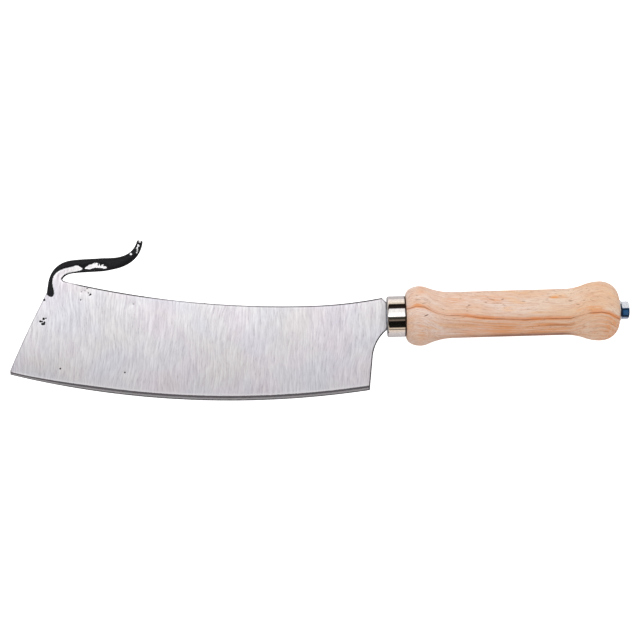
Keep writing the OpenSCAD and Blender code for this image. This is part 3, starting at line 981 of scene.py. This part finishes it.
# ---- handle: turned beech
FRONT_SWELL_X = WOOD_FRONT_X + 8.5
FRONT_SWELL_R = 18.25
REAR_SWELL_X = WOOD_END_X - 11.2
REAR_SWELL_R = 18.1
WAIST_R = 14.1
END_FLAT_R = 8.4
ROD_BORE_R = 3.2
# The growth line's height at stations along the handle
GROWTH_LINE_X = [-66, -59, -54.5, -47.5, -41, -28.5, -21, -12, -2, 6,
                 14, 25, 34, 40, 45, 52, 56.5, 62, 66]
GROWTH_LINE_Y = [5.2, 7.6, 6.9, 3.4, 1.4, 0.5, -0.7, -1.7, -2.2, -2.9,
                 -2.4, -2.5, -2.7, -1.0, 0.5, 1.0, 0.0, -3.2, -5.4]
# How much the line's layer dips for each millimetre away from the middle plane
LAYER_DIP = 0.10
# How orange the wood below that line is at stations along the handle
ORANGE_ZONE_X = [-52, -36, -20, -8, 30, 37, 45, 51, 58]
ORANGE_ZONE = [0.04, 0.3, 0.55, 1.0, 1.0, 0.5, 0.3, 0.5, 0.95]
# How strong the glow beside that line is at stations along the handle
LINE_GLOW_X = [-62, -58, -50, -44, -34, -28, -10, 33, 37, 44, 47, 66]
LINE_GLOW = [0.5, 0.9, 0.35, 0.2, 0.45, 0.9, 0.9, 1.1, 0.2, 0.25, 0.9, 0.9]
# The radii of each swell's crest and of the hollow beside it
FRONT_RADII = (12.2, 39.6)
REAR_RADII = (27.4, 33.5)
TENON_R = 11.4
SLOT_END_R = 5.2
# The wood stands clear of the ferrule by this much
FIT_GAP = 0.05


def swell_to_waist(crest_x, r_high, swell_r, hollow_r, way, steps):
    """A fall from a swell's crest to the waist along X: a round swell and a tangent round hollow."""
    turn = math.acos(1 - (r_high - WAIST_R) / (swell_r + hollow_r))
    waist_x = crest_x + way * (swell_r + hollow_r) * math.sin(turn)
    fall = [(crest_x + way * swell_r * math.sin(a), r_high - swell_r * (1 - math.cos(a)))
            for a in np.linspace(0, turn, steps + 1)]
    return fall + [(waist_x - way * hollow_r * math.sin(a), WAIST_R + hollow_r * (1 - math.cos(a)))
                   for a in np.linspace(turn, 0, steps + 1)[1:]]


def handle():
    """A tenon in the ferrule, two swells with a waist between, a flat end and the tang's bore."""
    front = swell_to_waist(FRONT_SWELL_X, FRONT_SWELL_R, *FRONT_RADII, 1, 22)
    rear = swell_to_waist(REAR_SWELL_X, REAR_SWELL_R, *REAR_RADII, -1, 22)[::-1]
    waist = [(x, WAIST_R) for x in np.linspace(front[-1][0], rear[0][0], 60)[1:-1]]
    wood_x, tenon_x = WOOD_FRONT_X + FIT_GAP, HANDLE_LOW[0] + FIT_GAP
    outer = quarter(wood_x, 12.9, FRONT_SWELL_X, FRONT_SWELL_R, 22)[:-1] + front + waist + rear
    end = quarter(WOOD_END_X, END_FLAT_R, REAR_SWELL_X, REAR_SWELL_R, 24)[::-1][1:]
    section = [(tenon_x, SLOT_END_R), (tenon_x, TENON_R), (wood_x, TENON_R)] + outer + end
    section += [(WOOD_END_X, ROD_BORE_R + 0.2), (WOOD_END_X - 0.2, ROD_BORE_R),
                (TANG_FLAT_END_X + 4, ROD_BORE_R), (TANG_FLAT_END_X + 2, SLOT_END_R)]
    points, faces = lathe(section, 144)
    x, y, z = points.T
    attributes = {"grain_mm": y - np.interp(x, GROWTH_LINE_X, GROWTH_LINE_Y) + LAYER_DIP * np.abs(z),
                  "zone": np.interp(x, ORANGE_ZONE_X, ORANGE_ZONE),
                  "glow": np.interp(x, LINE_GLOW_X, LINE_GLOW)}
    mesh_object("handle_wood", points, faces, "knife", "handle", BEECH, attributes)


handle()


# ---- washer and nut
WASHER_BORE_R = 3.2


def washer():
    """A washer with a rounded rim and an eased bore."""
    outer, bore = WASHER_HIGH[1], WASHER_BORE_R
    x0, x1 = WASHER_LOW[0], WASHER_HIGH[0]
    section = [(x0, bore + 0.15), (x0, outer - 0.5)] + quarter(x0, outer - 0.45, x0 + 0.45, outer, 5)
    section += [(x, outer) for x in np.linspace(x0 + 0.55, x1 - 0.35, 6)]
    section += quarter(x1, outer - 0.25, x1 - 0.25, outer, 4)[::-1]
    section += [(x1, outer - 0.6), (x1, bore + 0.12), (x1 - 0.12, bore), (x0 + 0.15, bore)]
    points, faces = lathe(section, 120)
    # Painted shade: the rim is darkened towards the nut, through both tint and rim, and only across the
    # middle of its height
    x, y, z = points.T
    nut_side_shade = smoothstep((x - x0 - 0.5) / 0.4) * (np.hypot(y, z) > outer - 0.5)
    nut_side_shade *= smoothstep((4.6 - np.abs(y)) / 1.2)
    attributes = {"tint": nut_side_shade, "rim": nut_side_shade}
    mesh_object("end_washer_ring", points, faces, "washer", "end_washer", WASHER_ZINC, attributes)


NUT_AF = 9.8
NUT_CORNER_R = 5.55
NUT_CHAMFER_R = 4.8
NUT_TURN = math.radians(17)
NUT_BORE_R = 3.05
NUT_MINOR_R = 2.52
# How blue each flat is, from the one that follows the first corner: blue zinc plate, with a painted
# reflection in how it differs from flat to flat
FLAT_REFLECTION_TINTS = (0.05, 0.95, 0.55, 0.2, 0.9, 0.5)
FACE_TINT = 0.25


def nut():
    """A chamfered hexagon nut with its thread cut through."""
    x0, x1 = NUT_LOW[0], NUT_HIGH[0]
    sixth = math.pi / 3
    ease = math.acos(NUT_AF / 2 / NUT_CORNER_R)
    spread = np.concatenate([[-ease], np.linspace(-ease, ease, 17)[1:-1], [ease], [sixth / 2]])
    angles, tints = [], []
    for k in range(6):
        angles += list(NUT_TURN + sixth / 2 + k * sixth + spread)
        tints += [FLAT_REFLECTION_TINTS[k]] * (len(spread) - 1) + [(FLAT_REFLECTION_TINTS[k] + FLAT_REFLECTION_TINTS[(k + 1) % 6]) / 2]
    angles = np.array(angles)
    offset = (angles - NUT_TURN) % sixth - sixth / 2
    outer = np.minimum(NUT_AF / 2 / np.cos(offset), NUT_CORNER_R)
    drop = (outer - NUT_CHAMFER_R) * math.tan(sixth / 2)

    def end_rows(x, way):
        """An end face from the bore out, then the chamfer down to the flats."""
        rows = [[(at, r)] * len(angles) for at, r in (
            (x, NUT_BORE_R + 0.5), (x, NUT_CHAMFER_R - 0.15), (x + way * 0.03, NUT_CHAMFER_R))]
        return rows + [[(x + way * (d + below), r) for d, r in zip(drop, outer)] for below in (0.03, 0.12)]

    rows = end_rows(x0, 1)
    rows += [[(x0 + (x1 - x0) * share, r) for r in outer] for share in (0.2, 0.3, 0.4, 0.5, 0.6, 0.7, 0.8)]
    rows += end_rows(x1, -1)[::-1]
    for x in np.arange(x1 - 0.05, x0, -THREAD_PITCH / 10):
        opening = max(0, 0.5 - (x1 - x), 0.5 - (x - x0))
        least = NUT_BORE_R - 0.5 + opening * 2
        cuts = [NUT_MINOR_R + (NUT_BORE_R - NUT_MINOR_R) * (1 - thread_wave(x, a)) for a in angles]
        rows.append([(x, max(cut, least)) for cut in cuts])
    points = turned(rows, angles)
    # The end faces and the bore have one tint all round
    tint = np.tile(tints, (len(rows), 1))
    tint[:3] = tint[14:] = FACE_TINT
    # Painted shade: the blue is darkened round each flat's rim and towards the nut's ends
    from_middle = np.tile(np.abs(offset) / ease, len(rows))
    along = np.abs(points[:, 0] - (x0 + x1) / 2) / ((x1 - x0) / 2)
    rim = smoothstep((np.maximum(from_middle, along) - 0.45) / 0.45)
    faces = grid_faces(len(rows), len(angles), close_rows=True)
    attributes = {"tint": tint.ravel(), "rim": rim}
    mesh_object("end_nut_hex", points, faces, "nut", "end_nut", NUT_ZINC, attributes, 24)


washer()
nut()


# ---- floor, light and camera
FLOOR_REACH = 6.0
FLOOR_GAP = 0.0004
# The angle from straight up towards +Y in degrees, and the colour that a reflection sees there
STUDIO_BANDS = [
    (-180, (0.42, 0.40, 0.41)), (-110, (0.70, 0.67, 0.69)), (-90, (0.84, 0.74, 0.67)),
    (-82, (0.84, 0.72, 0.60)), (-80, (0.14, 0.11, 0.08)), (-76, (0.14, 0.11, 0.08)),
    (-74, (0.86, 0.76, 0.64)), (-69, (0.74, 0.61, 0.48)), (-63, (0.010, 0.010, 0.008)),
    (-27, (0.006, 0.005, 0.004)), (-23, (0.20, 0.16, 0.13)), (-18, (0.20, 0.16, 0.13)),
    (-15, (0.03, 0.03, 0.025)), (-7, (0.05, 0.05, 0.04)), (-2, (0.12, 0.11, 0.10)),
    (3, (2.2, 2.2, 2.22)), (12, (1.6, 1.6, 1.61)), (26, (1.06, 1.07, 1.08)), (43, (1.07, 1.08, 1.10)),
    (47, (0.03, 0.022, 0.02)), (74, (0.006, 0.004, 0.002)), (77, (0.70, 0.62, 0.50)),
    (92, (1.10, 1.02, 0.93)), (112, (0.98, 0.93, 0.90)), (120, (0.60, 0.58, 0.60)),
]
# What lights matt surfaces from every side
SKY_COLOUR = (0.765, 0.765, 0.775, 1)
WHITE = (1.0, 1.0, 1.0, 1)
KEY_PLACE = (-0.2, 0.9, 0.9)
KEY_TARGET = (-0.1, 0, 0)
KEY_SIZE = 0.9
KEY_POWER = 4.8
CAMERA_PLACE = (-0.11705, -0.0008, 1.05)
CAMERA_ROLL = math.radians(1.606)
CAMERA_WIDTH = 0.3904
SENSOR_WIDTH = 36.0


def studio_floor():
    """White paper under the knife, bright to the camera and left out of reflections."""
    look = Look("white_paper", Roughness=1.0, Specular_IOR_Level=0.0, Base_Color=(0.93, 0.93, 0.93, 1),
                Emission_Color=WHITE)
    rays = look.add("LightPath").node.outputs
    look.link(Emission_Strength=look.times(rays["Is Camera Ray"], 0.8))
    mesh = bpy.data.meshes.new("floor")
    height = HANDLE_LOW[2] * MM - FLOOR_GAP
    corners = [(x * FLOOR_REACH, y * FLOOR_REACH, height) for x, y in ((-1, -1), (1, -1), (1, 1), (-1, 1))]
    mesh.from_pydata(corners, [], [(0, 1, 2, 3)])
    mesh.materials.append(look.material)
    floor = placed("floor", mesh)
    floor.visible_glossy = False


def studio_sky():
    """Even light for matt surfaces. Reflections see a studio: a softbox, dark gaps and pale walls."""
    world = bpy.data.worlds.new("studio")
    bpy.context.scene.world = world
    world.use_nodes = True
    sky = Nodes(world.node_tree)
    way = sky.split(sky.add("TexCoord"))
    lean = sky.maths("ARCTAN2", way[1], way[2])
    seen = sky.add("ValToRGB", {0: sky.ramp(lean, -math.pi, math.pi, smooth=False)})
    elements = seen.node.color_ramp.elements
    elements.remove(elements[1])
    elements[0].position, elements[0].color = 0, (*STUDIO_BANDS[0][1], 1)
    for angle, colour in STUDIO_BANDS[1:]:
        elements.new((angle + 180) / 360).color = (*colour, 1)
    rays = sky.add("LightPath").node.outputs
    seen = sky.mix(rays["Is Glossy Ray"], SKY_COLOUR, seen)
    seen = sky.mix(rays["Is Camera Ray"], seen, WHITE)
    sky.tree.links.new(seen, sky.tree.nodes["Background"].inputs[0])


def key_light():
    """One soft lamp above the spine's side, left out of reflections."""
    light = bpy.data.lights.new("key", "AREA")
    light.energy = KEY_POWER
    light.size = KEY_SIZE
    lamp = placed("key", light)
    lamp.location = KEY_PLACE
    lamp.rotation_euler = (Vector(KEY_PLACE) - Vector(KEY_TARGET)).to_track_quat("Z", "Y").to_euler()
    lamp.visible_glossy = False


def camera():
    """Straight above the flat, a metre away, rolled so that the handle rises to the right."""
    data = bpy.data.cameras.new("camera")
    data.sensor_width = SENSOR_WIDTH
    data.lens = SENSOR_WIDTH * CAMERA_PLACE[2] / CAMERA_WIDTH
    made = placed("camera", data)
    made.location = CAMERA_PLACE
    made.rotation_euler = (0, 0, -CAMERA_ROLL)
    bpy.context.scene.camera = made


studio_floor()
studio_sky()
key_light()
camera()
bpy.context.scene.view_settings.view_transform = "Standard"
